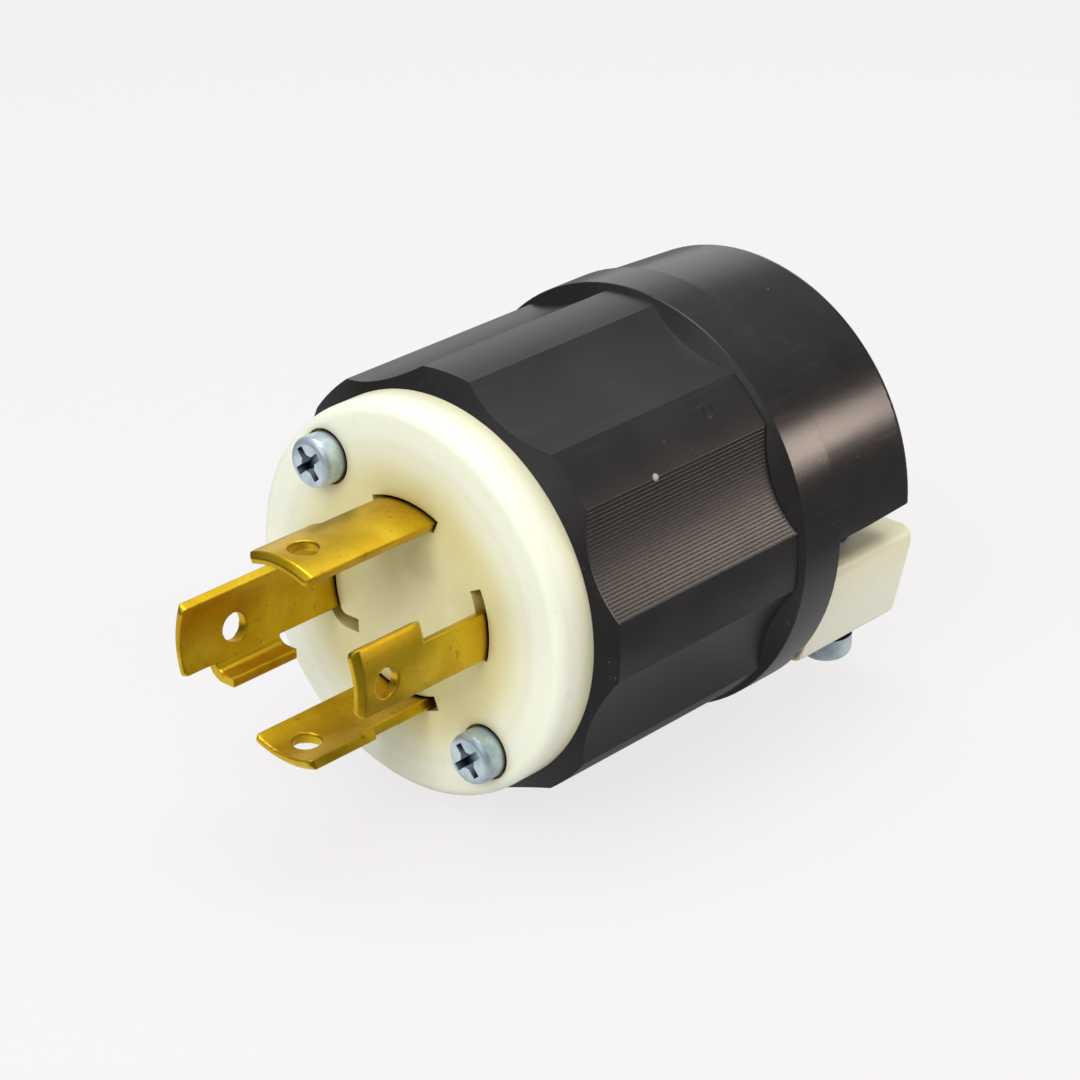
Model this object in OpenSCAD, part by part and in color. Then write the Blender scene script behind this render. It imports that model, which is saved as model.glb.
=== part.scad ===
// Locking power plug: four curved blades in a white nylon face, a fluted black
// shell, and a white cord clamp jaw drawn up by two screws from below.
// X runs along the plug from the face to the cord end, Z is up, and the origin
// is the centre of the face. Angles are seen from the front, counter-clockwise
// from the right-hand side (-Y). All sizes are in millimetres.

/* [Face] */
// Diameter of the white face disc
face_d = 50.8; // [49:0.1:52]
// How far the disc stands in front of the shell
face_rim = 5.7; // [4:0.1:8]
// Radius of the disc's rounded front edge
face_edge_r = 1.6; // [0.5:0.1:2]
// Length of the spigot behind the disc, inside the shell
spigot_l = 4; // [3:0.1:6]

/* [Blades] */
// Outer diameter of the circle on which the blades are curved
blade_circle_d = 27.3; // [26:0.1:28.5]
// Thickness of the blade strip
blade_t = 1.4; // [1.1:0.05:1.7]
// Length of a live or neutral blade in front of the face
blade_l = 21; // [18:0.1:23]
// Length of the ground blade in front of the face
ground_l = 25.6; // [24:0.1:29]
// Distance from the face to the locking notch
neck_l = 10.2; // [8:0.1:12]
// Distance from the face to the detent holes
detent_x = 16.8; // [15:0.1:17.5]
// Diameter of the detent holes
detent_d = 3.7; // [3:0.1:4.2]
// Radius of the blades' tip corners
tip_r = 0.9; // [0.4:0.1:1.5]
// Chamfer around the outside of the blades' tips
tip_chamfer = 0.7; // [0.4:0.05:0.9]
// Angle from a live blade's middle to its plain edge
line_edge = 23; // [21:0.5:25]
// Angle from a live blade's middle to its shank's notched edge
line_shank = 16.5; // [14:0.5:18]
// Angle from a live blade's middle to the edge of its locking tab
line_tab = 21.5; // [20:0.5:24]
// Angle from a live blade's middle to its detent hole
line_detent = -1; // [-3:0.5:3]
// Angle from the neutral blade's middle to its plain edge
neutral_edge = 12.5; // [11:0.5:15]
// Angle from the neutral blade's middle to its shank's notched edge
neutral_shank = 14; // [12:0.5:16]
// Angle from the neutral blade's middle to the edge of its locking tab
neutral_tab = 25; // [22:0.5:27]
// Angle from the neutral blade's middle to its detent hole
neutral_detent = 2.5; // [0:0.5:6]
// Angle from the ground blade's middle to its plain edge
ground_edge = 21.5; // [19:0.5:25]
// Angle from the ground blade's middle to the edge where its foot bends in
ground_shank = 20.5; // [18:0.5:22]
// Angle from the ground blade's middle to its detent hole
ground_detent = 5; // [0:0.5:8]
// Distance from the face to the front of the ground blade's foot
foot_x = 20.7; // [19:0.1:22.5]
// Inner radius of the bend between the ground blade and its foot
foot_bend_r = 1.4; // [1.1:0.1:2]
// Angle through which the foot is bent
foot_bend = 70; // [60:1:78]
// Length of the foot's flat end
foot_flat = 1.7; // [1.2:0.1:2.2]
// Length along the plug of the shoulders that hold the blades
shoulder_l = 1.5; // [1:0.1:2]
// How far the shoulders stand out past the blades' edges, in degrees
shoulder_turn = 7; // [5:0.5:8]
// Clearance of a blade in its slot, on each side
slot_gap = 0.25; // [0.15:0.05:0.35]

/* [Terminals] */
// Width of the flat strap behind each blade
strap_w = 9; // [8:0.1:10]
// Length of the straps behind the face
strap_l = 26; // [24:0.1:28]
// Distance from the face to the terminal screws
terminal_x = 19.5; // [18:0.1:20.5]
// Diameter of the terminal screws' threads
terminal_d = 4; // [3.5:0.1:4.5]
// Diameter of the terminal screws' heads
terminal_head_d = 7; // [6:0.1:7.4]
// Height of the terminal screws' heads
terminal_head_h = 2.4; // [2:0.1:2.8]
// Radius of the terminal screws' head edges
terminal_head_r = 0.6; // [0.3:0.1:1]
// How far the terminal screws reach inside the straps
terminal_reach = 2.4; // [1.5:0.1:3]
// Thickness of the pressure plates
plate_t = 1.2; // [0.8:0.1:1.6]
// Size of the square pressure plates
plate_w = 8.2; // [7.5:0.1:8.8]

/* [Terminal block] */
// Length of the terminal block behind the spigot
block_l = 19; // [17:0.1:21]
// Diameter of the terminal block
block_d = 42; // [40.5:0.1:43]
// Thickness of the barriers between the terminals
barrier_t = 4; // [3:0.1:5]
// Diameter of the block's core
core_d = 17; // [15:0.1:18.5]
// Thickness of the block's front plate
block_plate = 3; // [2:0.1:4]
// Diameter of the screw that holds the block to the face
block_screw_d = 3.6; // [3:0.1:4]
// Diameter of that screw's head
block_head_d = 7; // [6:0.1:8]
// Height of that screw's head
block_head_h = 2.4; // [2:0.1:3]
// Radius of that head's edge
block_head_r = 0.8; // [0.3:0.1:1.2]
// Depth of that head below the end of the block
block_head_sink = 1; // [0.5:0.1:2]
// Thickness of the face left in front of that screw
block_screw_skin = 3; // [2:0.1:4]

/* [Shell] */
// Diameter over the lands of the fluted grip
land_d = 56; // [55:0.1:57]
// Number of flutes around the grip
flutes = 8; // [8:1:8]
// Width of a flute as an angle
flute_angle = 29.3; // [27:0.1:31]
// Depth of a flute below the straight line between its edges
flute_depth = 0.7; // [0.3:0.1:1]
// Distance from the face to the front of the band
band_x = 41.5; // [40:0.1:43]
// Width of the band
band_w = 7; // [6:0.1:8]
// Diameter of the band
band_d = 57.4; // [57.2:0.1:59]
// Slope of the chamfers at the two ends of the flutes, as length over height
chamfer_slope = 0.7; // [0.5:0.05:0.9]
// Diameter of the shell's bore
shell_bore_d = 45; // [44.6:0.1:45.4]
// Thickness of the shell's inner end wall
end_wall = 4; // [3:0.1:5]
// Clearance of the spigot in the bore, on the radius
bore_gap = 0.2; // [0.1:0.05:0.3]

/* [Shroud] */
// Distance from the face to the rear end of the shroud
shroud_end = 65; // [64:0.1:66]
// Diameter of the shroud where it leaves the band
shroud_d = 56.6; // [56:0.1:57]
// Diameter of the shroud at its rear end
shroud_end_d = 55; // [54:0.1:55.8]
// Wall thickness of the shroud
shroud_wall = 2.6; // [2:0.1:3]
// Radius of the shroud's rounded rear edge
shroud_edge_r = 1.5; // [1:0.1:2]

/* [Cord grip] */
// Diameter of the cord channel between the two jaws
cord_d = 19; // [17:0.1:20]
// Wall around the shell's half of the cord channel
saddle_wall = 2.5; // [2:0.1:3]
// Clearance around the cord in the shell's end wall, on the radius
cord_play = 1; // [0.5:0.1:1.5]
// Number of gripping ridges in the clamp jaw
ridges = 4; // [3:1:5]
// Height of the gripping ridges
ridge_h = 0.8; // [0.5:0.1:1.2]
// Width of a gripping ridge
ridge_w = 1.2; // [1:0.1:1.5]

/* [Clamp jaw] */
// How far the jaw hangs open below the shroud
jaw_drop = 5.6; // [4:0.1:6.5]
// Height of the jaw
jaw_h = 13.8; // [12.5:0.1:15]
// Half width of the jaw at its top
jaw_top_w = 25.7; // [25:0.1:26]
// Half width of the jaw at its bottom
jaw_bottom_w = 22.6; // [22:0.1:23]
// Radius of the jaw's long edges
jaw_edge_r = 1.8; // [1:0.1:2.2]
// Distance from the face to the rear end of the jaw
jaw_end = 68.6; // [67:0.1:70]
// Gap between the band and the jaw
jaw_gap = 0.6; // [0.3:0.1:1]

/* [Screws] */
// Radius of the circle on which the two face screws lie
face_screw_r = 20.3; // [20:0.05:20.5]
// Angle at which the first face screw lies
face_screw_at = 130; // [128:0.5:132]
// Diameter of the long screws' threads
screw_d = 3.8; // [3.4:0.1:4]
// Diameter of the long screws' heads
head_d = 6.6; // [6:0.1:6.8]
// Height of the face screws' heads
head_h = 3.9; // [3:0.1:4.2]
// Radius of the face screws' head edges
head_r = 0.9; // [0.5:0.1:1.4]
// Depth to which those heads are let into the face
head_sink = 0.8; // [0.5:0.1:1.5]
// Clearance around a sunk head, on the radius
head_gap = 0.3; // [0.2:0.05:0.5]
// Length of the face screws under the head
face_screw_l = 40; // [38.5:0.1:41]
// Half the distance between the two clamp screws
clamp_screw_y = 19; // [18.6:0.1:19.2]
// Distance from the face to the clamp screws
clamp_screw_x = 59; // [58:0.1:60]
// Diameter of the clamp screws' heads
clamp_head_d = 7; // [6.4:0.1:7.1]
// Height of the clamp screws' heads
clamp_head_h = 3.4; // [3:0.1:3.8]
// Radius of the clamp screws' domed head edges
clamp_head_r = 1.6; // [1:0.1:2]
// Length of the clamp screws under the head
clamp_screw_l = 29; // [28:0.1:30]
// Clearance around a screw in a plain hole, on the radius
hole_gap = 0.25; // [0.2:0.05:0.3]
// Clearance around a screw in a threaded hole, on the radius
thread_gap = 0.05; // [0.02:0.01:0.1]
// Outer diameter of the threaded inserts
insert_d = 5.6; // [5.2:0.1:5.8]
// Length of the threaded inserts
insert_l = 8; // [6:0.1:9]
// Wall around each insert
boss_wall = 1.5; // [1.2:0.1:1.8]
// Depth of the cross recesses in the screw heads
recess_h = 1.8; // [1.2:0.1:2]
// Length of the arms of those recesses
recess_w = 4.6; // [3.4:0.1:4.8]
// Thickness of the arms of those recesses
recess_t = 1; // [0.7:0.05:1.1]
// Diameter of the middle of those recesses
recess_core = 2.2; // [1.5:0.1:2.6]

/* [Hidden] */

// How much thinner each face of the bent foot is, and how far its bend laps
// into the blade, in degrees
foot_draw = 0.03;
foot_lap = 6;
// How much of its radius a struck corner stands out from a true fillet
struck = 0.04;
// Overlap where two shapes of one solid join, and how far a cut runs out
eps = 0.01;
run_out = 1;
// How far the straps' outer sides lie inside the blades'
strap_step = 0.3;
// Colours of the materials
black_nylon = [0.16, 0.15, 0.15];
white_nylon = [0.93, 0.93, 0.86];
brass = [0.85, 0.68, 0.25];
zinc = [0.75, 0.78, 0.8];
green = [0.15, 0.5, 0.25];
// Clock positions of the four circuits
at_neutral = 0;
at_line_x = 90;
at_ground = 180;
at_line_y = 270;

blade_ro = blade_circle_d / 2;
blade_ri = blade_ro - blade_t;
strap_out = blade_ro - strap_step;
strap_in = strap_out - blade_t;
slot_turn = slot_gap / blade_ro * 180 / PI;
spigot_end = face_rim + spigot_l;
plate_end = spigot_end + block_plate;
block_end = spigot_end + block_l;
terminal_top = strap_out + plate_t;
block_seat = block_end - block_head_h - block_head_sink;
band_end = band_x + band_w;
end_wall_x = band_end - end_wall;
bore_r = shell_bore_d / 2;
land_r = land_d / 2;
band_r = band_d / 2;
cord_r = cord_d / 2;
jaw_top = -jaw_drop;
jaw_bottom = jaw_top - jaw_h;
jaw_x = band_end + jaw_gap;
plain_hole_r = screw_d / 2 + hole_gap;
face_screw_tip = head_sink + face_screw_l;
insert_end = face_screw_tip + run_out;
insert_x = insert_end - insert_l;
boss_r = insert_d / 2 + boss_wall;
boss_reach = (bore_r + land_r) / 2 - run_out;
clamp_tip = jaw_bottom + clamp_screw_l;
clamp_insert_z = clamp_tip + run_out - insert_l;
shoulder_x = spigot_end - shoulder_l;

// A flat shape, drawn as it is seen from the front, filled from x0 to x1
module slab(x0, x1) {
    translate([x1, 0, 0]) rotate([90, 0, -90]) linear_extrude(x1 - x0) children();
}

// A profile of x against radius, turned about the plug's axis
module lathe() {
    rotate([90, 0, -90]) rotate_extrude($fn = 96) rotate(-90) children();
}

// Carries something from the right-hand side round to a clock position
module at_clock(angle) {
    rotate([-angle, 0, 0]) children();
}

// The disc segment from angle a0 to angle a1, reaching past radius r
module wedge(r, a0, a1) {
    steps = [for (i = [0:4]) a0 + (a1 - a0) * i / 4];
    polygon(concat([[0, 0]], [for (a = steps) 1.5 * r * [cos(a), sin(a)]]));
}

// The section of a strip bent to a circle, from angle a0 to angle a1
module arc_strip(r_in, r_out, a0, a1) {
    intersection() {
        difference() {
            circle(r = r_out, $fn = 96);
            circle(r = r_in, $fn = 96);
        }
        wedge(r_out, a0, a1);
    }
}

// The sharp bit outside a rounded corner at the origin, with the corner's
// sides along +x and +y
module corner_cut(r) {
    difference() {
        translate([-eps, -eps]) square(r + eps);
        translate([r, r]) circle(r = r, $fn = 32);
    }
}

function unit(v) = v / norm(v);

// Cuts the sharp bit off a corner at p whose sides leave along u and v
module corner_bit(p, u, v, r) {
    setback = r * norm(u + v) / norm(u - v);
    centre = p + unit(u + v) * norm([r, setback]);
    translate(centre) difference() {
        scale((r + eps) / r) polygon([[0, 0], p + u * setback - centre, p - centre, p + v * setback - centre]);
        circle(r = r, $fn = 48);
    }
}

// A convex outline whose corners are rounded to radius r
module rounded(points, r) {
    n = len(points);
    difference() {
        polygon(points);
        for (i = [0:n - 1])
            corner_bit(points[i], unit(points[(i + n - 1) % n] - points[i]),
                unit(points[(i + 1) % n] - points[i]), r);
    }
}

// Rounds a blade's tip corner at the given angle. side is 1 where the blade
// lies below that angle and -1 where it lies above. The rounding meets the
// blade's edges at a slight angle, as a struck corner does.
module tip_corner(length, angle, side) {
    at_clock(angle) rotate([90, 0, 0]) linear_extrude(2 * blade_ro) translate([-length, 0])
        mirror([0, max(side, 0)]) translate([-tip_r * struck, -tip_r * struck]) corner_cut(tip_r);
}

// Chamfers the outside of a blade's tip
module tip_bevel(length) {
    lathe() polygon([[-length - run_out, blade_ro - tip_chamfer - run_out],
        [-length - run_out, blade_ro + run_out], [-length + tip_chamfer + run_out, blade_ro + run_out]]);
}

// A hole through a blade or strap, drilled towards the plug's axis
module radial_hole(x, angle, r) {
    at_clock(angle) translate([x, 0, 0]) rotate([90, 0, 0]) cylinder(r = r, h = 2 * blade_ro, $fn = 48);
}

// The section of the shoulders on a blade between angles a0 and a1, which sit
// between the face body and the terminal block
module shoulder_section(a0, a1, gap) {
    arc_strip(blade_ri - gap, blade_ro + gap, a0 - shoulder_turn - gap, a1 + shoulder_turn + gap);
}

// The flat strap behind a blade, which carries its terminal screw
module strap() {
    slab(plate_end, strap_l) translate([strap_in, -strap_w / 2]) square([blade_t, strap_w]);
}

// A live or neutral blade at the right-hand side, in one piece with its strap
module blade(edge, shank, tab, detent) {
    difference() {
        union() {
            slab(-blade_l, -neck_l) arc_strip(blade_ri, blade_ro, -edge, tab);
            slab(-neck_l - eps, plate_end + blade_t) arc_strip(blade_ri, blade_ro, -edge, shank);
            slab(shoulder_x, spigot_end) shoulder_section(-edge, tab, 0);
            strap();
        }
        tip_corner(blade_l, tab, 1);
        tip_corner(blade_l, -edge, -1);
        tip_bevel(blade_l);
        radial_hole(-detent_x, detent, detent_d / 2);
        radial_hole(terminal_x, 0, terminal_d / 2 + thread_gap);
    }
}

module blade_neutral() {
    color(brass) at_clock(at_neutral) blade(neutral_edge, neutral_shank, neutral_tab, neutral_detent);
}

module blade_line_x() {
    color(brass) at_clock(at_line_x) blade(line_edge, line_shank, line_tab, line_detent);
}

module blade_line_y() {
    color(brass) at_clock(at_line_y) blade(line_edge, line_shank, line_tab, line_detent);
}

// The section of the ground blade's foot, which bends in from its edge. The
// bend draws the sheet a little thinner.
module foot_section(gap) {
    inner = foot_bend_r + foot_draw - gap;
    outer = foot_bend_r + blade_t - foot_draw + gap;
    rotate(ground_shank) translate([blade_ri - foot_bend_r, 0]) {
        arc_strip(inner, outer, -foot_lap, foot_bend);
        rotate(foot_bend) translate([inner, -eps]) square([outer - inner, foot_flat + gap + eps]);
    }
}

module blade_ground() {
    color(brass) at_clock(at_ground) difference() {
        union() {
            slab(-ground_l, plate_end + blade_t) arc_strip(blade_ri, blade_ro, -ground_edge, ground_shank);
            slab(shoulder_x, spigot_end) shoulder_section(-ground_edge, ground_shank, 0);
            slab(-foot_x, -neck_l) foot_section(0);
            strap();
        }
        tip_corner(ground_l, ground_shank, 1);
        tip_corner(ground_l, -ground_edge, -1);
        tip_bevel(ground_l);
        radial_hole(-detent_x, ground_detent, detent_d / 2);
        radial_hole(terminal_x, 0, terminal_d / 2 + thread_gap);
    }
}

// A slot for a blade at the right-hand side, between angles a0 and a1
module slot_section(a0, a1) {
    arc_strip(blade_ri - slot_gap, blade_ro + slot_gap, a0 - slot_turn, a1 + slot_turn);
}

// The sections of all four slots, as wide as the tabs that pass through them
module slots() {
    rotate(at_neutral) slot_section(-neutral_edge, neutral_tab);
    rotate(at_line_x) slot_section(-line_edge, line_tab);
    rotate(at_line_y) slot_section(-line_edge, line_tab);
    rotate(at_ground) {
        slot_section(-ground_edge, ground_shank - slot_turn);
        foot_section(slot_gap);
    }
}

// The pockets for all four blades' shoulders
module shoulder_pockets() {
    rotate(at_neutral) shoulder_section(-neutral_edge, neutral_tab, slot_gap);
    rotate(at_line_x) shoulder_section(-line_edge, line_tab, slot_gap);
    rotate(at_line_y) shoulder_section(-line_edge, line_tab, slot_gap);
    rotate(at_ground) shoulder_section(-ground_edge, ground_shank, slot_gap);
}

// Places something at the two face screws
module at_face_screws() {
    for (angle = [face_screw_at, face_screw_at + 180])
        at_clock(angle) translate([0, -face_screw_r, 0]) rotate([0, 90, 0]) children();
}

module face_body() {
    color(white_nylon) difference() {
        union() {
            lathe() difference() {
                square([face_rim, face_d / 2]);
                translate([0, face_d / 2]) mirror([0, 1]) corner_cut(face_edge_r);
            }
            lathe() square([spigot_end, bore_r - bore_gap]);
        }
        slab(-run_out, spigot_end + run_out) slots();
        slab(shoulder_x, spigot_end + run_out) shoulder_pockets();
        at_face_screws() {
            translate([0, 0, -run_out]) cylinder(r = plain_hole_r, h = spigot_end + 2 * run_out, $fn = 48);
            translate([0, 0, -run_out]) cylinder(r = head_d / 2 + head_gap, h = head_sink + run_out, $fn = 48);
        }
        translate([block_screw_skin, 0, 0]) rotate([0, 90, 0])
            cylinder(d = block_screw_d + 2 * thread_gap, h = spigot_end, $fn = 48);
    }
}

module terminal_block() {
    color(white_nylon) difference() {
        union() {
            lathe() square([plate_end, block_d / 2]);
            lathe() square([block_end, core_d / 2]);
            slab(spigot_end, block_end) intersection() {
                circle(d = block_d, $fn = 96);
                for (angle = [face_screw_at:90:face_screw_at + 270]) rotate(angle) {
                    translate([0, -barrier_t / 2]) square([block_d, barrier_t]);
                    if (angle % 180 == face_screw_at % 180)
                        translate([face_screw_r, 0]) circle(r = plain_hole_r + boss_wall, $fn = 48);
                }
            }
        }
        slab(-run_out, spigot_end) square(block_d + run_out, center = true);
        slab(0, plate_end + run_out) slots();
        at_face_screws() cylinder(r = plain_hole_r, h = block_end + run_out, $fn = 48);
        rotate([0, 90, 0]) {
            cylinder(d = block_screw_d + 2 * hole_gap, h = block_end + run_out, $fn = 48);
            translate([0, 0, block_seat]) cylinder(r = block_head_d / 2 + head_gap, h = block_l, $fn = 48);
        }
    }
}

// The grip's section: round lands between eight shallow flutes
module grip_section() {
    half = flute_angle / 2;
    chord = land_r * sin(half);
    cutter_r = (chord * chord + flute_depth * flute_depth) / (2 * flute_depth);
    difference() {
        circle(r = land_r, $fn = 96);
        for (i = [0:flutes - 1]) rotate((i + 0.5) * 360 / flutes)
            translate([land_r * cos(half) - flute_depth + cutter_r, 0]) circle(r = cutter_r, $fn = 96);
    }
}

// The outside of the grip and the band
module grip_and_band() {
    face_r = face_d / 2;
    intersection() {
        slab(face_rim, band_end) grip_section();
        lathe() polygon([[face_rim, 0], [face_rim, face_r],
            [face_rim + (land_r + run_out - face_r) * chamfer_slope, land_r + run_out],
            [band_end, land_r + run_out], [band_end, 0]]);
    }
    lathe() polygon([[band_x - (band_r - bore_r + run_out) * chamfer_slope, bore_r - run_out],
        [band_x, band_r], [band_end, band_r], [band_end, bore_r - run_out]]);
}

// The shroud's profile: a slight taper with a rounded rear edge
module shroud_profile() {
    top = [band_end - eps, shroud_d / 2];
    end = [shroud_end, shroud_end_d / 2];
    difference() {
        polygon([[top[0], 0], top, end, [end[0], 0]]);
        corner_bit(end, unit(top - end), [0, -1], shroud_edge_r);
    }
}

// The profile of the hollow inside the shroud
module shroud_hollow() {
    polygon([[band_end - eps, 0], [band_end - eps, shroud_d / 2 - shroud_wall],
        [shroud_end - shroud_wall, shroud_end_d / 2 - shroud_wall], [shroud_end - shroud_wall, 0]]);
}

// Places something at the two clamp screws, with z = 0 at their seats
module at_clamp_screws() {
    for (side = [-1, 1]) translate([clamp_screw_x, side * clamp_screw_y, jaw_bottom]) children();
}

// Places something at the two clamp screws' inserts
module at_clamp_inserts() {
    for (side = [-1, 1]) translate([clamp_screw_x, side * clamp_screw_y, clamp_insert_z]) children();
}

// The shroud over the clamp. It is cored out from below on both sides of the
// cord channel, around two ribbed bosses for the clamp screws.
module shroud() {
    core = cord_r + saddle_wall;
    intersection() {
        lathe() shroud_profile();
        union() {
            difference() {
                lathe() shroud_profile();
                lathe() shroud_hollow();
            }
            slab(band_end - eps, shroud_end) translate([-core, 0]) square([2 * core, land_r]);
            for (side = [-1, 1]) translate([clamp_screw_x, side * clamp_screw_y, 0]) {
                cylinder(r = boss_r, h = land_r, $fn = 48);
                translate([-boss_wall, min(side, 0) * land_r, 0]) cube([2 * boss_wall, land_r, land_r]);
            }
        }
        translate([band_end - eps, -land_r, 0]) cube([shroud_end, land_d, land_r]);
    }
}

module shell() {
    color(black_nylon) difference() {
        union() {
            difference() {
                grip_and_band();
                lathe() translate([face_rim - run_out, 0]) square([end_wall_x - face_rim + run_out, bore_r]);
            }
            intersection() {
                at_face_screws() translate([0, 0, insert_x]) cylinder(r = boss_r, h = band_end - insert_x, $fn = 48);
                slab(face_rim, band_end - eps) circle(r = boss_reach, $fn = 96);
            }
            shroud();
        }
        slab(end_wall_x - run_out, band_end) circle(r = cord_r + cord_play, $fn = 96);
        slab(end_wall_x, shroud_end + run_out) circle(r = cord_r, $fn = 96);
        at_face_screws() translate([0, 0, insert_x - run_out])
            cylinder(d = insert_d, h = insert_l + run_out, $fn = 48);
        at_clamp_screws() cylinder(r = plain_hole_r, h = clamp_screw_l + run_out, $fn = 48);
        at_clamp_inserts() translate([0, 0, -clamp_insert_z - run_out])
            cylinder(d = insert_d, h = clamp_insert_z + insert_l + run_out, $fn = 48);
    }
}

module cord_clamp_jaw() {
    pitch = (jaw_end - jaw_x) / ridges;
    color(white_nylon) difference() {
        slab(jaw_x, jaw_end) rounded([[-jaw_top_w, jaw_top], [jaw_top_w, jaw_top],
            [jaw_bottom_w, jaw_bottom], [-jaw_bottom_w, jaw_bottom]], jaw_edge_r);
        slab(jaw_x - run_out, jaw_end + run_out) translate([0, jaw_top]) circle(r = cord_r - ridge_h, $fn = 96);
        for (i = [0:ridges]) slab(jaw_x + (i - 0.5) * pitch + ridge_w / 2, jaw_x + (i + 0.5) * pitch - ridge_w / 2)
            translate([0, jaw_top]) circle(r = cord_r, $fn = 96);
        at_clamp_screws() translate([0, 0, -run_out]) cylinder(r = plain_hole_r, h = jaw_h + 2 * run_out, $fn = 48);
    }
}

// A screw that points up from its seat at z = 0, with a cross recess below
module screw(d, l, head_d, head_h, head_edge_r) {
    difference() {
        union() {
            cylinder(d = d, h = l, $fn = 48);
            rotate_extrude($fn = 48) mirror([0, 1]) difference() {
                square([head_d / 2, head_h]);
                translate([head_d / 2, head_h]) rotate(180) corner_cut(head_edge_r);
            }
        }
        for (turn = [0, 90]) rotate(turn) translate([-recess_w / 2, -recess_t / 2, -head_h - run_out])
            cube([recess_w, recess_t, recess_h + run_out]);
        translate([0, 0, -head_h - run_out]) cylinder(d = recess_core, h = recess_h + run_out, $fn = 24);
    }
}

module face_screws() {
    color(zinc) at_face_screws() translate([0, 0, head_sink])
        screw(screw_d, face_screw_l, head_d, head_h, head_r);
}

module clamp_screws() {
    color(zinc) at_clamp_screws()
        screw(screw_d, clamp_screw_l, clamp_head_d, clamp_head_h, clamp_head_r);
}

// A threaded insert that stands on z = 0
module insert() {
    color(brass) difference() {
        cylinder(d = insert_d, h = insert_l, $fn = 48);
        translate([0, 0, -run_out]) cylinder(r = screw_d / 2 + thread_gap, h = insert_l + 2 * run_out, $fn = 48);
    }
}

module face_screw_inserts() {
    at_face_screws() translate([0, 0, insert_x]) insert();
}

module clamp_inserts() {
    at_clamp_inserts() insert();
}

module block_screw() {
    color(zinc) translate([block_seat, 0, 0]) rotate([0, -90, 0])
        screw(block_screw_d, block_seat - block_screw_skin - run_out, block_head_d, block_head_h, block_head_r);
}

// Places something on the outside of a pressure plate, pointing to the axis
module at_terminal(angle) {
    at_clock(angle) translate([terminal_x, -terminal_top, 0]) rotate([-90, 0, 0]) children();
}

module terminal_screw(angle) {
    at_terminal(angle)
        screw(terminal_d, plate_t + blade_t + terminal_reach, terminal_head_d, terminal_head_h, terminal_head_r);
}

module terminal_screw_ground() { color(green) terminal_screw(at_ground); }
module terminal_screw_neutral() { color(zinc) terminal_screw(at_neutral); }
module terminal_screws_line() { color(brass) for (angle = [at_line_x, at_line_y]) terminal_screw(angle); }

module pressure_plate(angle) {
    color(zinc) at_terminal(angle) difference() {
        translate([-plate_w / 2, -plate_w / 2, 0]) cube([plate_w, plate_w, plate_t]);
        translate([0, 0, -run_out]) cylinder(d = terminal_d + 2 * hole_gap, h = plate_t + 2 * run_out, $fn = 48);
    }
}

module pressure_plate_ground() { pressure_plate(at_ground); }
module pressure_plate_neutral() { pressure_plate(at_neutral); }
module pressure_plate_line_x() { pressure_plate(at_line_x); }
module pressure_plate_line_y() { pressure_plate(at_line_y); }

shell();
face_body();
terminal_block();
blade_ground();
blade_neutral();
blade_line_x();
blade_line_y();
pressure_plate_ground();
pressure_plate_neutral();
pressure_plate_line_x();
pressure_plate_line_y();
terminal_screw_ground();
terminal_screw_neutral();
terminal_screws_line();
block_screw();
face_screws();
face_screw_inserts();
cord_clamp_jaw();
clamp_screws();
clamp_inserts();
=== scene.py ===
"""Looks of a locking power plug: moulded nylon, stamped brass blades and zinc-plated screws.

Lengths are in millimetres until they reach a mesh, a tree or a light, which are in metres.
The plug's axis is X: its face is at 0 and the cord leaves at the far end.
"""
import math

import bmesh
import bpy
from mathutils import Matrix, Vector


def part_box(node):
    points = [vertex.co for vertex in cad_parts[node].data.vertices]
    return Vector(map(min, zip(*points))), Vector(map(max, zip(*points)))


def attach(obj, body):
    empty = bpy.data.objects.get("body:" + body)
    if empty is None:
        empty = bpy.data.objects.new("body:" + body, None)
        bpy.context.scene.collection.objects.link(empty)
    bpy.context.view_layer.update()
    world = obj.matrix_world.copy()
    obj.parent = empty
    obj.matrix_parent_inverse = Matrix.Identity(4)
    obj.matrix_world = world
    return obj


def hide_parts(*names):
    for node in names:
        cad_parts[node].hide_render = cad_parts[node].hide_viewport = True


MM = 0.001

# The grip: flutes are arcs between straight lands on the shell's body circle
LAND_D = 56.0
FLUTE_ANGLE = 29.3
FLUTE_DEPTH = 0.7
# The grip's ends: cones from the face rim and up to the band, with this slope
FACE_RIM = 5.7
FACE_D = 50.8
CHAMFER_SLOPE = 0.7

# The band, and the shroud that tapers behind it
BAND_X = 41.5
BAND_D = 57.4
BAND_END = 48.5
SHROUD_D = 56.6
SHROUD_END_D = 55.0
SHROUD_END = 65.0
SHROUD_TAPER = (SHROUD_D - SHROUD_END_D) / 2 / (SHROUD_END - BAND_END)
BAND_EDGE_WEAR = 0.14

# The ribbed panels, in two opposite flutes: angles from +Y towards +Z
PANEL_ANGLES = (157.5, 337.5)
RIBS = 29
RIB_PITCH = 0.5
RIB_RADIUS = 0.22
RIB_PROUD = 0.035
RIB_MARGIN = 0.4
RIB_SIDES = 12

# The clamp screws' threads between the jaw and the shroud, whose open side is at Z = 0
SCREW_D = 3.8
THREAD_PITCH = 0.8
THREAD_CREST = 0.22
THREAD_SUNK = 0.06
THREAD_BURIED = 3.0
THREAD_CLEAR = 0.2
THREAD_STEPS = 32
THREAD_SIDES = 6

# How finely tumbled pieces are remeshed, and how often they are smoothed
BLADE_GRAIN = 0.15
JAW_GRAIN = 0.25
WEAR_PASSES = 4

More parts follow.
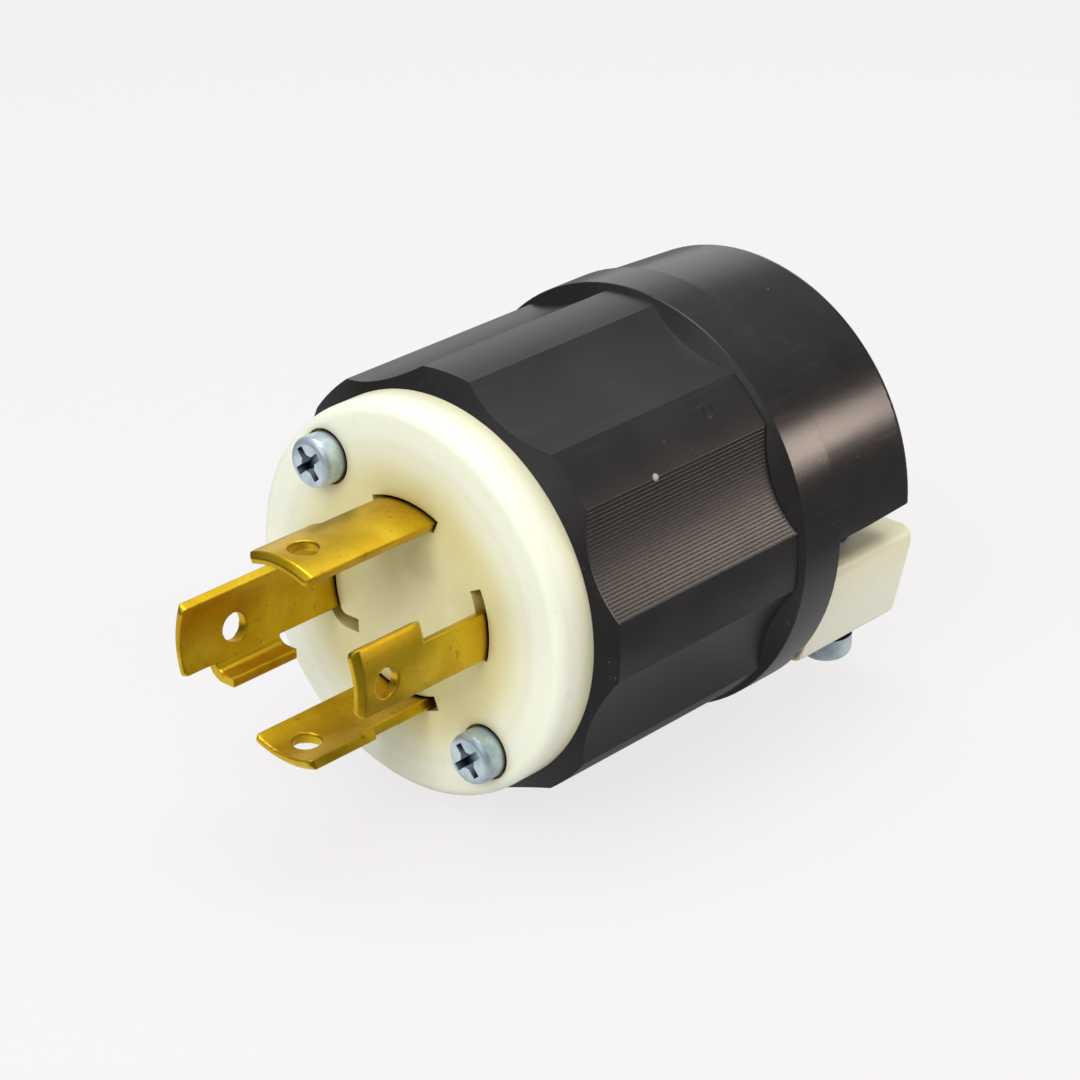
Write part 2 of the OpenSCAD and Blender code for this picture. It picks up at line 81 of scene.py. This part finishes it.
# The nylon face has painted shade and a painted yellow glow of the brass around the blades'
# circle, a thin painted shade line at a small step ring outside it, painted shade on its
# outer side, and one faint darker round patch. The jaw has painted yellow shade towards its
# top, under the shroud. A pair tells where a tint begins and where it is full.
BLADE_CIRCLE_R = 13.65
STEP_SHADE_R = 20.3
FACE_SIDE = (2, 5.5)
BEHIND_FACE = (9, 12)
DARK_PATCH = (0, -2.4, 6.4)
JAW_FRONT = (46, 50)
JAW_TOP = (-15, -6)

# Small marks on the shell: a nick on a flute's edge and a blister on a land
NICK = (20.1, -22.3, 16.9)
BLISTER = (33.0, -19.1, 20.5)

# Edges that turn further than this are real ones
SHARP = math.radians(20)
# Edges that turn less than this lie within one flat face
FLAT = math.radians(0.3)
# Points closer than this are one
WELD = 0.001
# How near to a station, and to the radius of a round, an edge or a face counts as on it
STATION_SLACK = 0.05
RADIUS_SLACK = 0.2
# A face belongs to the band's or the shroud's round when its normal is this near to radial
RADIAL = 0.995

# The camera: how far it is turned and tipped, and how far right of, above and behind the
# middle of the plug's face it stands
CAMERA_AZIMUTH = math.radians(42.433)
CAMERA_ELEVATION = math.radians(25.696)
CAMERA_RIGHT = 16.27124
CAMERA_UP = 7.68096
CAMERA_BACK = 411.12694
CAMERA_LENS = 113.33
CAMERA_FILM = 36

# Where the lamps aim, inside the shell
AIM = (30, 0, 0)
FLOOR_HALF = 3000
# The share of the plain background in what the camera sees of the floor
FLOOR_SHOWN = 0.84


# ---------------------------------------------------------------- node trees

class Wire:
    """A socket that can be used in arithmetic: each expression adds its Math nodes."""

    def __init__(self, recipe, socket):
        self.recipe = recipe
        self.socket = socket

    def math(self, operation, *others):
        sockets = dict(enumerate((self, *others)))
        return self.recipe.node("ShaderNodeMath", {"operation": operation}, sockets)

    def __add__(self, other):
        return self.math("ADD", other)

    def __sub__(self, other):
        return self.math("SUBTRACT", other)

    def __mul__(self, other):
        return self.math("MULTIPLY", other)

    def __truediv__(self, other):
        return self.math("DIVIDE", other)

    def __rsub__(self, other):
        return self.recipe.node(
            "ShaderNodeMath", {"operation": "SUBTRACT"}, {0: other, 1: self})

    __radd__ = __add__
    __rmul__ = __mul__

    def between(self, low, high):
        """0 below low, 1 above high and smooth between them."""
        return self.recipe.node(
            "ShaderNodeMapRange",
            {"interpolation_type": "SMOOTHSTEP"},
            {"Value": self, "From Min": low, "From Max": high},
        )

    def near(self, middle, reach):
        """1 at middle, fading to 0 at reach on both sides."""
        return 1 - (self - middle).math("ABSOLUTE").between(0, reach)


class Recipe:
    """A node tree that is put together from expressions."""

    def __init__(self, tree):
        self.tree = tree

    def node(self, kind, settings=None, sockets=None, output=0):
        """Adds a node with its settings and its sockets' values or links."""
        made = self.tree.nodes.new(kind)
        for name, value in (settings or {}).items():
            setattr(made, name, value)
        for key, value in (sockets or {}).items():
            if isinstance(value, Wire):
                self.tree.links.new(value.socket, made.inputs[key])
            else:
                made.inputs[key].default_value = value
        return Wire(self, made.outputs[output]) if made.outputs else made


class Shading(Recipe):
    """A shader tree, which knows where it is and which rays reach it."""

    def __init__(self, tree, coordinates="Object"):
        super().__init__(tree)
        self.tree.nodes.clear()
        self.coordinates = self.node("ShaderNodeTexCoord", output=coordinates)

    def along(self, direction):
        """How far the coordinates reach along a direction."""
        return self.node(
            "ShaderNodeVectorMath", {"operation": "DOT_PRODUCT"},
            {0: self.coordinates, 1: Vector(direction)}, output="Value")

    def seen(self):
        """1 for what the camera sees directly."""
        return self.node("ShaderNodeLightPath", output="Is Camera Ray")

    def mirrored(self):
        """1 for what is seen in a reflection or through a clear piece."""
        reflected = self.node("ShaderNodeLightPath", output="Is Glossy Ray")
        through = self.node("ShaderNodeLightPath", output="Is Transmission Ray")
        return reflected.math("MAXIMUM", through)


class Finish(Shading):
    """A material that is put together from expressions."""

    def __init__(self, name):
        self.material = bpy.data.materials.new(name)
        self.material.use_nodes = True
        super().__init__(self.material.node_tree)

    def station(self):
        """Distance behind the plug's face, in millimetres."""
        return self.along((1 / MM, 0, 0))

    def height(self):
        """Height above the plug's axis, in millimetres."""
        return self.along((0, 0, 1 / MM))

    def radius(self):
        """Distance from the plug's axis, in millimetres."""
        return self.distance((0, 0, 0), (0, 1, 1))

    def distance(self, point, axes=(1, 1, 1)):
        """Distance in millimetres from a point in millimetres, along the given axes."""
        apart = self.node(
            "ShaderNodeVectorMath", {"operation": "SUBTRACT"},
            {0: self.coordinates, 1: Vector(point) * MM})
        scaled = self.node(
            "ShaderNodeVectorMath", {"operation": "MULTIPLY"},
            {0: apart, 1: Vector(axes) / MM})
        return self.node(
            "ShaderNodeVectorMath", {"operation": "LENGTH"}, {0: scaled}, output="Value")

    def noise(self, size, detail=2.0, roughness=0.5, stretch=(1, 1, 1)):
        """Noise with features about size millimetres across, from 0 to 1."""
        place = self.node(
            "ShaderNodeMapping", None, {"Vector": self.coordinates, "Scale": stretch})
        return self.node(
            "ShaderNodeTexNoise", None,
            {"Vector": place, "Scale": 1 / (size * MM), "Detail": detail,
             "Roughness": roughness})

    # A mask for painted shade in hollows
    def crevice_shade(self, reach):
        """1 in slots and corners tighter than reach millimetres, 0 on open faces."""
        openness = self.node(
            "ShaderNodeAmbientOcclusion", {"samples": 6}, {"Distance": reach * MM},
            output="AO")
        return 1 - openness.between(0.35, 0.9)

    def blend(self, amount, first, second):
        """A colour that goes from first to second as amount goes from 0 to 1."""
        return self.node(
            "ShaderNodeMix", {"data_type": "RGBA"},
            {0: amount, 6: first, 7: second}, output=2)

    def bump(self, height, depth, under=None):
        """A bump of the given depth in millimetres, on top of the one under it."""
        sockets = {"Height": height, "Distance": depth * MM, "Strength": 1.0}
        if under:
            sockets["Normal"] = under
        return self.node("ShaderNodeBump", None, sockets)

    def surface(self, **sockets):
        """Ends the material in a Principled shader with these socket values."""
        named = {key.replace("_", " "): value for key, value in sockets.items()}
        shader = self.node("ShaderNodeBsdfPrincipled", None, named)
        self.node("ShaderNodeOutputMaterial", None, {"Surface": shader})
        return self.material


class Growth(Recipe):
    """A geometry tree with named sizes."""

    def __init__(self, name, sizes):
        super().__init__(bpy.data.node_groups.new(name, "GeometryNodeTree"))
        for label, kind in sizes.items():
            self.tree.interface.new_socket(label, in_out="INPUT", socket_type=kind)
        self.tree.interface.new_socket(
            "Geometry", in_out="OUTPUT", socket_type="NodeSocketGeometry")
        self.entry = self.tree.nodes.new("NodeGroupInput")

    def size(self, label):
        return Wire(self, self.entry.outputs[label])

    def finish_with(self, shape, material):
        real = self.node("GeometryNodeRealizeInstances", None, {0: shape})
        done = self.node(
            "GeometryNodeSetMaterial", None, {"Geometry": real, "Material": material})
        self.node("NodeGroupOutput", None, {0: done})

    def grow(self, name, sizes, material):
        """A plain mesh piece from the tree with these sizes."""
        seed = bpy.data.objects.new(name + "_seed", bpy.data.meshes.new(name + "_seed"))
        bpy.context.scene.collection.objects.link(seed)
        grown = seed.modifiers.new("growth", "NODES")
        grown.node_group = self.tree
        for item in self.tree.interface.items_tree:
            if item.in_out == "INPUT":
                grown[item.identifier] = sizes[item.name]
        mesh = settled_mesh(seed)
        bpy.data.objects.remove(seed)
        return add_object(name, mesh, material)


# ----------------------------------------------------------------- materials

def rgb(red, green, blue):
    """A colour from its 0 to 255 display values."""
    def linear(value):
        value /= 255
        return value / 12.92 if value <= 0.04045 else ((value + 0.055) / 1.055) ** 2.4
    return (linear(red), linear(green), linear(blue), 1.0)


BACKGROUND = rgb(247, 245, 245)


def black_nylon():
    """Moulded black nylon: satin, cloudy, with fine rubbed lines and a few pale specks."""
    made = Finish("black_nylon")
    cloud = made.noise(14, detail=3, roughness=0.6)
    flow = made.noise(5, detail=3, stretch=(0.25, 1, 1))
    grain = made.noise(0.3, detail=2)
    rubs = made.noise(0.8, detail=2, stretch=(0.06, 1, 1)).between(0.6, 0.72)
    specks = made.noise(0.7, detail=1).between(0.8, 0.83)
    body = made.blend(cloud.between(0.35, 0.7), rgb(24, 23, 24), rgb(33, 30, 30))
    dusty = made.blend(rubs * 0.07, body, rgb(78, 74, 72))
    flecked = made.blend(specks * 0.35, dusty, rgb(150, 142, 132))
    nick = 1 - made.distance(NICK).between(0.3, 0.6)
    colour = made.blend(nick * 0.8, flecked, rgb(196, 184, 172))
    grip = 1 - made.station().between(BAND_X - 1, BAND_X)
    gloss = 0.15 + 0.09 * grip + 0.11 * cloud + 0.06 * grain + 0.03 * rubs
    blister = made.distance(BLISTER).near(0.8, 0.5)
    relief = made.bump(
        blister, 0.06, under=made.bump(flow, 0.03, under=made.bump(grain, 0.004)))
    return made.surface(Base_Color=colour, Roughness=gloss, Normal=relief, IOR=1.5)


def white_nylon():
    """Milky natural nylon, green-white at the rim, with painted shade and glow by the
    blades.
    """
    made = Finish("white_nylon")
    cloud = made.noise(9, detail=3, roughness=0.55)
    fine = made.noise(1.6, detail=3, roughness=0.6)
    radius = made.radius()
    behind = made.station().between(*BEHIND_FACE)
    rim = radius.between(15.0, 22.0).math("MAXIMUM", behind)
    ring = radius.near(STEP_SHADE_R, 1.3) * (1 - behind)
    side = made.station().between(*FACE_SIDE) * (1 - behind)
    blades = radius.near(BLADE_CIRCLE_R, 6.0)
    core = made.blend(cloud.between(0.3, 0.75), rgb(220, 214, 162), rgb(228, 224, 178))
    # Painted shade of the blades and a painted yellow glow of their brass, around their
    # circle
    blade_shaded = made.blend(blades * 0.55, core, rgb(214, 202, 140))
    milky = made.blend(rim, blade_shaded, rgb(238, 241, 222))
    # A thin line of painted shade where the face has a small step ring
    step_shaded = made.blend(ring * 0.3, milky, rgb(224, 222, 190))
    # Painted shade on the face's outer side, next to the black shell
    side_shaded = made.blend(side * 0.6, step_shaded, rgb(214, 206, 156))
    worn = made.blend(fine.between(0.6, 0.75) * 0.18, side_shaded, rgb(206, 198, 160))
    # One faint darker round patch on the face
    dark_patch = 1 - made.distance(DARK_PATCH).between(1.6, 3.4)
    marked = made.blend(dark_patch * 0.4, worn, rgb(196, 186, 136))
    # Painted yellow shade on the jaw towards its top, where the shroud hangs over it
    shroud_shade = made.station().between(*JAW_FRONT) * made.height().between(*JAW_TOP)
    shroud_shaded = made.blend(shroud_shade * 0.25, marked, rgb(236, 212, 116))
    # Painted shade in slots and corners, tinted like the brass seen inside the slots
    colour = made.blend(made.crevice_shade(2.2), shroud_shaded, rgb(184, 154, 66))
    relief = made.bump(made.noise(0.8, detail=2), 0.006, under=made.bump(cloud, 0.05))
    return made.surface(
        Base_Color=colour, Roughness=0.36 + 0.14 * cloud, Normal=relief, IOR=1.53,
        Subsurface_Weight=0.3, Subsurface_Radius=(1.0, 0.95, 0.6),
        Subsurface_Scale=1.6 * MM)


def stamped_brass():
    """Stamped sheet brass, a little tarnished, with faint rolling lines and pits."""
    made = Finish("stamped_brass")
    cloud = made.noise(6, detail=4, roughness=0.6)
    lines = made.noise(0.3, detail=2, stretch=(0.08, 1, 1))
    spots = made.noise(1.1, detail=2).between(0.64, 0.74)
    pits = made.noise(0.35, detail=1).between(0.7, 0.8)
    clean = made.blend(cloud.between(0.35, 0.7), rgb(222, 186, 46), rgb(200, 160, 26))
    stained = made.blend(spots * 0.4, clean, rgb(136, 98, 14))
    pitted = made.blend(pits * 0.5, stained, rgb(96, 70, 16))
    # Painted shade, dark brown, in holes and corners
    colour = made.blend(made.crevice_shade(1.5), pitted, rgb(92, 62, 8))
    gloss = 0.26 + 0.12 * cloud + 0.08 * lines + 0.15 * spots
    relief = made.bump(lines, 0.005, under=made.bump(cloud, 0.02))
    return made.surface(
        Base_Color=colour, Metallic=1.0, Roughness=gloss, Normal=relief)


def plated(name, pale, deep):
    """Plating on screws and wire plates: clouded, with small pits and painted shade in
    recesses.
    """
    made = Finish(name)
    cloud = made.noise(2.5, detail=3)
    pits = made.noise(0.25, detail=1)
    clean = made.blend(cloud.between(0.35, 0.65), pale, deep)
    # Painted shade, dark blue, in the recesses
    colour = made.blend(made.crevice_shade(1.2), clean, rgb(30, 40, 66))
    return made.surface(
        Base_Color=colour, Metallic=0.65, Roughness=0.24 + 0.16 * cloud,
        Normal=made.bump(pits, 0.006))


def pale_floor():
    """A pale floor that keeps a soft shadow and otherwise shows the plain background.

    In reflections it glows in front of the plug, beside its grip and behind its shroud.
    """
    made = Finish("pale_floor")
    across = (1, 1, 0)
    front = 1 - made.distance((-60, 50, 0), across).between(50, 110)
    beside = 1 - made.distance((25, -55, 0), across).between(5, 35)
    behind = 1 - made.distance((85, -30, 0), across).between(10, 45)
    seen = made.seen()
    mirrored = made.mirrored()
    glow = seen + mirrored * (0.26 + 0.7 * front + 0.4 * beside + 0.45 * behind)
    lit = made.node("ShaderNodeBsdfDiffuse", None, {"Color": rgb(224, 223, 223)})
    plain = made.node("ShaderNodeEmission", None, {"Color": BACKGROUND, "Strength": glow})
    shader = made.node("ShaderNodeMixShader", None, {
        0: seen * FLOOR_SHOWN + mirrored, 1: lit, 2: plain})
    made.node("ShaderNodeOutputMaterial", None, {"Surface": shader})
    return made.material


# -------------------------------------------------------------------- meshes

def add_object(name, mesh, material):
    piece = bpy.data.objects.new(name, mesh)
    bpy.context.scene.collection.objects.link(piece)
    mesh.materials.clear()
    mesh.materials.append(material)
    mesh.polygons.foreach_set("use_smooth", [True] * len(mesh.polygons))
    return piece


def settled_mesh(piece):
    """The mesh that a piece's modifiers make."""
    graph = bpy.context.evaluated_depsgraph_get()
    return bpy.data.meshes.new_from_object(piece.evaluated_get(graph))


def merged_mesh(node, worn=None):
    """A merged copy of a CAD node's mesh, with its sharp edges marked crisp or worn.

    worn tells for the middle of an edge, in millimetres, if a bevel will round it.
    """
    work = bmesh.new()
    work.from_mesh(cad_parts[node].data)
    bmesh.ops.remove_doubles(work, verts=work.verts, dist=WELD * MM)
    if worn:
        bmesh.ops.dissolve_limit(
            work, angle_limit=FLAT, verts=work.verts, edges=work.edges, delimit={"NORMAL"})
    weight = work.edges.layers.float.new("bevel_weight_edge")
    for edge in work.edges:
        if edge.is_manifold and edge.calc_face_angle() > SHARP:
            middle = (edge.verts[0].co + edge.verts[1].co) / (2 * MM)
            rounded = bool(worn) and worn(middle)
            edge[weight] = float(rounded)
            edge.smooth = rounded
    merged = bpy.data.meshes.new(node + "_mesh")
    work.to_mesh(merged)
    work.free()
    return merged


def level_faces(piece):
    """Lets large faces set the normals at their edges, so that they stay flat."""
    level = piece.modifiers.new("level_faces", "WEIGHTED_NORMAL")
    level.mode = "FACE_AREA"
    level.weight = 50
    level.keep_sharp = True


def on_band_edge(middle):
    """Tells if the middle of an edge lies on one of the band's two outer edges."""
    return BAND_X - STATION_SLACK < middle.x < BAND_END + STATION_SLACK and (
        math.hypot(middle.y, middle.z) > BAND_D / 2 - RADIUS_SLACK)


def set_true_round(mesh):
    """Gives the band and the shroud the exact normals of their cylinder and cone."""
    normals = [corner.vector.copy() for corner in mesh.corner_normals]
    inmost = (SHROUD_END_D / 2 - RADIUS_SLACK) * MM
    for face in mesh.polygons:
        station = face.center.x / MM
        outward = Vector((0, face.center.y, face.center.z))
        if (station < BAND_X or outward.length < inmost
                or face.normal.dot(outward.normalized()) < RADIAL):
            continue
        for corner in face.loop_indices:
            point = mesh.vertices[mesh.loops[corner].vertex_index].co
            normal = Vector((0, point.y, point.z)).normalized()
            normal.x = SHROUD_TAPER if station > BAND_END else 0
            normals[corner] = normal.normalized()
    mesh.normals_split_custom_set(normals)


# -------------------------------------------------------------------- pieces

def keep(piece, slot, *nodes):
    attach(piece, "root")
    if nodes:
        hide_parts(*nodes)


def dress(node, material, slot):
    """Shows a CAD node as the same solid with a finish and crisp edges."""
    piece = add_object(node + "_finished", merged_mesh(node), material)
    level_faces(piece)
    keep(piece, slot, node)


def dress_shell(material):
    """Shows the shell with crisp flutes, a worn band and a smooth round shroud."""
    piece = add_object("shell_finished", merged_mesh("shell", on_band_edge), material)
    bevel = piece.modifiers.new("worn_edges", "BEVEL")
    bevel.width = BAND_EDGE_WEAR * MM
    bevel.segments = 3
    bevel.limit_method = "WEIGHT"
    bevel.use_clamp_overlap = False
    level_faces(piece)
    mesh = settled_mesh(piece)
    piece.modifiers.clear()
    piece.data = mesh
    set_true_round(mesh)
    keep(piece, "black_nylon", "shell")


def tumble(node, material, slot, grain):
    """Shows a CAD node as the same solid with every edge worn, as by barrel tumbling."""
    piece = add_object(node + "_finished", merged_mesh(node), material)
    skin = piece.modifiers.new("even_skin", "REMESH")
    skin.mode = "VOXEL"
    skin.voxel_size = grain * MM
    skin.use_smooth_shade = True
    wear = piece.modifiers.new("worn_edges", "SMOOTH")
    wear.factor = 0.5
    wear.iterations = WEAR_PASSES
    keep(piece, slot, node)


def rib_growth(material):
    """Straight half-sunk ribs, side by side across a flute."""
    made = Growth("rib_panel", {
        "Ribs": "NodeSocketInt", "Turn": "NodeSocketFloat",
        "Panel Angle": "NodeSocketFloat", "Arc Radius": "NodeSocketFloat",
        "Arc Centre": "NodeSocketFloat", "Front": "NodeSocketFloat",
        "Back": "NodeSocketFloat", "Slope": "NodeSocketFloat",
        "Rib Radius": "NodeSocketFloat"})
    points = made.node(
        "GeometryNodeMeshLine", None, {"Count": made.size("Ribs"), "Offset": (0, 0, 0)})
    index = made.node("GeometryNodeInputIndex")
    panel = made.size("Panel Angle")
    angle = panel + (index - (made.size("Ribs") - 1) / 2) * made.size("Turn")
    across = (panel.math("COSINE") * made.size("Arc Centre")
              - angle.math("COSINE") * made.size("Arc Radius"))
    upward = (panel.math("SINE") * made.size("Arc Centre")
              - angle.math("SINE") * made.size("Arc Radius"))
    rise = (across * across + upward * upward).math("SQRT") * made.size("Slope")
    start = made.size("Front") + rise
    length = made.size("Back") + rise - start
    place = made.node(
        "ShaderNodeCombineXYZ", None, {"X": start, "Y": across, "Z": upward})
    stretch = made.node("ShaderNodeCombineXYZ", None, {"X": length, "Y": 1.0, "Z": 1.0})
    spread = made.node(
        "GeometryNodeSetPosition", None, {"Geometry": points, "Position": place})
    spine = made.node("GeometryNodeCurvePrimitiveLine", None, {"End": (1, 0, 0)})
    outline = made.node(
        "GeometryNodeCurvePrimitiveCircle", None,
        {"Resolution": RIB_SIDES, "Radius": made.size("Rib Radius")})
    rib = made.node(
        "GeometryNodeCurveToMesh", None,
        {"Curve": spine, "Profile Curve": outline, "Fill Caps": True})
    ribs = made.node(
        "GeometryNodeInstanceOnPoints", None,
        {"Points": spread, "Instance": rib, "Scale": stretch})
    made.finish_with(ribs, material)
    return made


def add_ribs(material):
    """The ribbed panels that give two opposite flutes their grip."""
    half_angle = math.radians(FLUTE_ANGLE / 2)
    half_chord = LAND_D / 2 * math.sin(half_angle)
    arc = (half_chord ** 2 + FLUTE_DEPTH ** 2) / (2 * FLUTE_DEPTH)
    floor = LAND_D / 2 * math.cos(half_angle) - FLUTE_DEPTH
    front = FACE_RIM - FACE_D / 2 * CHAMFER_SLOPE + RIB_MARGIN
    back = BAND_X - BAND_D / 2 * CHAMFER_SLOPE - RIB_MARGIN
    growth = rib_growth(material)
    for name, angle in zip(("ribbed_panel_a", "ribbed_panel_b"), PANEL_ANGLES):
        panel = growth.grow(name, {
            "Ribs": RIBS, "Turn": RIB_PITCH / arc, "Panel Angle": math.radians(angle),
            "Arc Radius": (arc + RIB_RADIUS - RIB_PROUD) * MM,
            "Arc Centre": (floor + arc) * MM,
            "Front": front * MM, "Back": back * MM, "Slope": CHAMFER_SLOPE,
            "Rib Radius": RIB_RADIUS * MM}, material)
        keep(panel, "black_nylon")


def thread_growth(material):
    """Coiled threads on a row of upright screws."""
    made = Growth("screw_threads", {
        "Screws": "NodeSocketInt", "Spacing": "NodeSocketFloat",
        "Station": "NodeSocketFloat", "Bottom": "NodeSocketFloat",
        "Length": "NodeSocketFloat", "Turns": "NodeSocketFloat",
        "Radius": "NodeSocketFloat", "Crest": "NodeSocketFloat"})
    first = made.node("ShaderNodeCombineXYZ", None, {
        "X": made.size("Station"), "Y": made.size("Spacing") * -0.5,
        "Z": made.size("Bottom")})
    step = made.node("ShaderNodeCombineXYZ", None, {"Y": made.size("Spacing")})
    places = made.node("GeometryNodeMeshLine", None, {
        "Count": made.size("Screws"), "Start Location": first, "Offset": step})
    helix = made.node("GeometryNodeCurveSpiral", None, {
        "Resolution": THREAD_STEPS, "Rotations": made.size("Turns"),
        "Start Radius": made.size("Radius"), "End Radius": made.size("Radius"),
        "Height": made.size("Length")})
    crest = made.node("GeometryNodeCurvePrimitiveCircle", None, {
        "Resolution": THREAD_SIDES, "Radius": made.size("Crest")})
    thread = made.node("GeometryNodeCurveToMesh", None, {
        "Curve": helix, "Profile Curve": crest, "Fill Caps": True})
    threads = made.node("GeometryNodeInstanceOnPoints", None, {
        "Points": places, "Instance": thread})
    made.finish_with(threads, material)
    return made


def add_clamp_threads(material):
    """The bare threads of the clamp screws, from inside the jaw up to the shroud."""
    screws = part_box("clamp_screws")
    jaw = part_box("cord_clamp_jaw")
    head = (screws[1][0] - screws[0][0]) / 2
    bottom = jaw[1][2] - THREAD_BURIED * MM
    length = -THREAD_CLEAR * MM - bottom
    threads = thread_growth(material).grow("clamp_screw_threads", {
        "Screws": 2, "Spacing": screws[1][1] - screws[0][1] - 2 * head,
        "Station": screws[0][0] + head, "Bottom": bottom, "Length": length,
        "Turns": length / (THREAD_PITCH * MM),
        "Radius": (SCREW_D / 2 - THREAD_SUNK) * MM, "Crest": THREAD_CREST * MM}, material)
    keep(threads, "zinc")


# --------------------------------------------------------------------- scene

def add_camera():
    """A camera in front of the plug, on its neutral side and above it."""
    forward = Vector((
        math.cos(CAMERA_AZIMUTH) * math.cos(CAMERA_ELEVATION),
        math.sin(CAMERA_AZIMUTH) * math.cos(CAMERA_ELEVATION),
        -math.sin(CAMERA_ELEVATION)))
    right = Vector((math.sin(CAMERA_AZIMUTH), -math.cos(CAMERA_AZIMUTH), 0))
    up = right.cross(forward)
    data = bpy.data.cameras.new("camera")
    data.lens = CAMERA_LENS
    data.sensor_width = CAMERA_FILM
    data.clip_start = 0.01
    camera = bpy.data.objects.new("camera", data)
    place = (right * CAMERA_RIGHT + up * CAMERA_UP - forward * CAMERA_BACK) * MM
    axes = Matrix((right, up, -forward)).transposed().to_4x4()
    camera.matrix_world = Matrix.Translation(place) @ axes
    bpy.context.scene.collection.objects.link(camera)
    bpy.context.scene.camera = camera


def add_lamp(name, direction, distance, size, watts, colour=(1, 1, 1)):
    """A soft lamp of the given width and height that faces the plug from a direction."""
    data = bpy.data.lights.new(name, "AREA")
    data.shape = "RECTANGLE"
    data.size, data.size_y = size
    data.energy = watts
    data.color = colour
    lamp = bpy.data.objects.new(name, data)
    aim = Vector(direction).normalized()
    lamp.matrix_world = (
        Matrix.Translation(Vector(AIM) * MM + aim * distance)
        @ aim.to_track_quat("Z", "Y").to_matrix().to_4x4())
    bpy.context.scene.collection.objects.link(lamp)
    return lamp


def add_lamps():
    """A warm window behind the plug, and soft light from the front and from the top."""
    add_lamp("rear_window", direction=(0.73, -0.65, 0.25), distance=0.6,
             size=(0.16, 0.12), watts=0.75, colour=(1.0, 0.82, 0.7))
    fill = add_lamp("front_fill", direction=(-0.75, -0.2, 0.62), distance=0.7,
                    size=(0.45, 0.45), watts=3.0)
    fill.visible_glossy = False
    add_lamp("top_soft", direction=(0.1, 0.1, 1.0), distance=0.7,
             size=(0.5, 0.5), watts=2.6)


def add_floor(low):
    corners = [(-1, -1), (1, -1), (1, 1), (-1, 1)]
    mesh = bpy.data.meshes.new("floor")
    mesh.from_pydata(
        [(x * FLOOR_HALF * MM, y * FLOOR_HALF * MM, low) for x, y in corners],
        [], [(0, 1, 2, 3)])
    mesh.materials.append(pale_floor())
    floor = bpy.data.objects.new("floor", mesh)
    bpy.context.scene.collection.objects.link(floor)


def add_world():
    """A studio that is pale behind the plug and overhead, with a window high in front."""
    world = bpy.data.worlds.new("studio")
    bpy.context.scene.world = world
    world.use_nodes = True
    made = Shading(world.node_tree, "Generated")
    overhead = made.along((0, 0, 1)).between(0.2, 0.95)
    backdrop = made.along((0.68, 0.73, 0.05)).between(0.8, 0.97)
    window = made.along((-0.75, -0.2, 0.62)).between(0.82, 0.99)
    glow = 0.10 + 0.55 * overhead + 0.9 * backdrop + 0.75 * window
    soft = 0.26 + 0.3 * overhead
    mirrored = made.mirrored()
    shade = mirrored * glow + (1 - mirrored) * soft
    light = made.node(
        "ShaderNodeBackground", None, {"Color": (0.98, 0.99, 1.0, 1), "Strength": shade})
    plain = made.node("ShaderNodeBackground", None, {"Color": BACKGROUND, "Strength": 1.0})
    mix = made.node("ShaderNodeMixShader", None, {0: made.seen(), 1: light, 2: plain})
    made.node("ShaderNodeOutputWorld", None, {"Surface": mix})


# ---------------------------------------------------------------------- main

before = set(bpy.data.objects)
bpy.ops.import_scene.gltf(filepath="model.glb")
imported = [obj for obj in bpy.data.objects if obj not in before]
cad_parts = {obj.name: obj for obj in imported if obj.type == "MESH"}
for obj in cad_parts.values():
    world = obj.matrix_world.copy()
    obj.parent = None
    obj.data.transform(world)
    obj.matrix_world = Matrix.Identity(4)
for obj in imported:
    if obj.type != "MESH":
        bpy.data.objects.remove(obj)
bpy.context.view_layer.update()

add_camera()
add_world()
add_floor(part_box("shell")[0][2])
add_lamps()

nylon_black = black_nylon()
nylon_white = white_nylon()
brass = stamped_brass()
zinc = plated("zinc_plate", rgb(206, 222, 228), rgb(168, 190, 202))
green = plated("green_plate", rgb(52, 128, 74), rgb(34, 96, 54))

dress_shell(nylon_black)
add_ribs(nylon_black)
dress("face_body", nylon_white, "white_nylon")
dress("terminal_block", nylon_white, "white_nylon")
tumble("cord_clamp_jaw", nylon_white, "white_nylon", JAW_GRAIN)
for circuit in ("ground", "neutral", "line_x", "line_y"):
    tumble("blade_" + circuit, brass, "brass", BLADE_GRAIN)
    dress("pressure_plate_" + circuit, zinc, "zinc")
dress("terminal_screw_ground", green, "green_screw")
dress("terminal_screw_neutral", zinc, "zinc")
dress("terminal_screws_line", brass, "brass")
dress("block_screw", zinc, "zinc")
dress("face_screws", zinc, "zinc")
dress("clamp_screws", zinc, "zinc")
add_clamp_threads(zinc)
dress("face_screw_inserts", brass, "brass")
dress("clamp_inserts", brass, "brass")

scene = bpy.context.scene
scene.view_settings.view_transform = "Standard"
